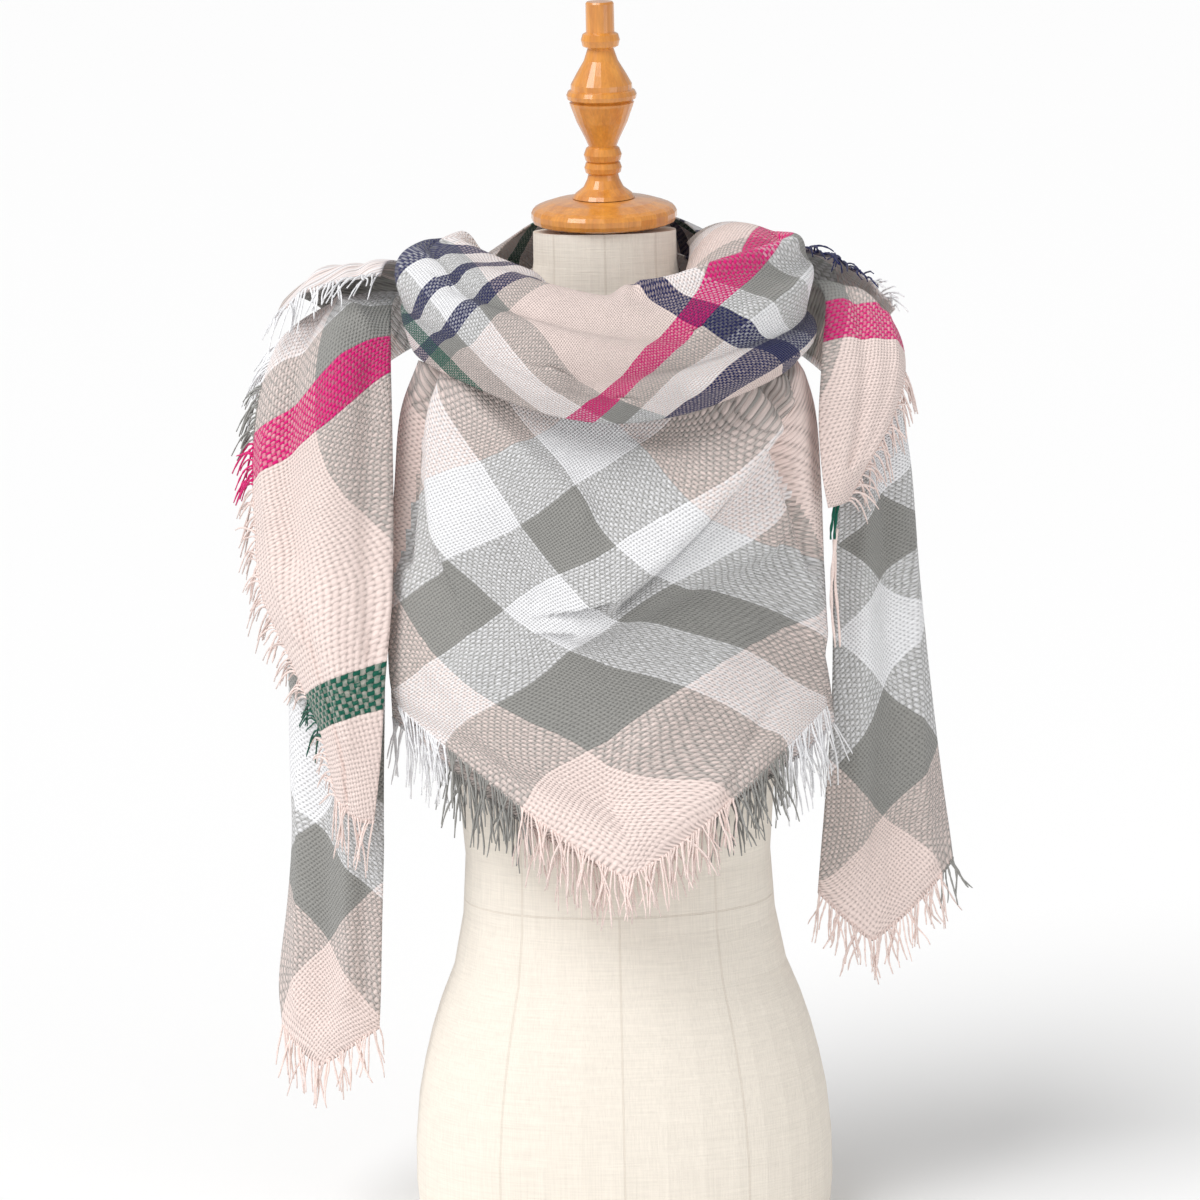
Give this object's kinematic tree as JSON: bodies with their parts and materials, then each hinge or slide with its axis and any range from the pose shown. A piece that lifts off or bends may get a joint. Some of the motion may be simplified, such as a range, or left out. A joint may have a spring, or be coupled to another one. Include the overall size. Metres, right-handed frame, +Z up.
{
  "type": "blanket scarf on a dress form",
  "caption": "Square plaid blanket scarf with a frayed fringe, folded to a triangle and worn point down with a loose rolled throat, on a limbless dress form with a turned wooden cap.",
  "frame": {"origin": "under the middle of the dress form, in the plane of its flat underside", "axes": "+Z up the form, -Y the front of the worn scarf, +X the viewer's right when facing it"},
  "size_m": [0.5518, 0.303, 0.9584],
  "materials": {
    "plaid_cloth": "brushed open plain weave",
    "cloth_fringe": "twisted yarn fringe",
    "linen": "fine natural linen",
    "honey_wood": "varnished"
  },
  "bodies": {
    "root": {"form_torso": "linen", "neck_cap": "honey_wood", "finial": "honey_wood", "bib_front": "plaid_cloth", "bib_under": "plaid_cloth", "cowl_front": "plaid_cloth", "nape_under": "plaid_cloth", "nape_over": "plaid_cloth", "left_shoulder_layer": "plaid_cloth", "left_tail_flap": "plaid_cloth", "left_tail_long": "plaid_cloth", "right_shoulder_layer": "plaid_cloth", "right_tail_flap": "plaid_cloth", "right_tail_long": "plaid_cloth", "right_strand": "plaid_cloth", "fringe_bib_front": "cloth_fringe", "fringe_bib_under": "cloth_fringe", "fringe_left_shoulder": "cloth_fringe", "fringe_left_flap_side": "cloth_fringe", "fringe_left_flap_hem": "cloth_fringe", "fringe_left_long": "cloth_fringe", "fringe_right_shoulder": "cloth_fringe", "fringe_right_flap_side": "cloth_fringe", "fringe_right_long": "cloth_fringe", "fringe_nape_over": "cloth_fringe", "fringe_nape_under": "cloth_fringe"}
  },
  "joints": []
}
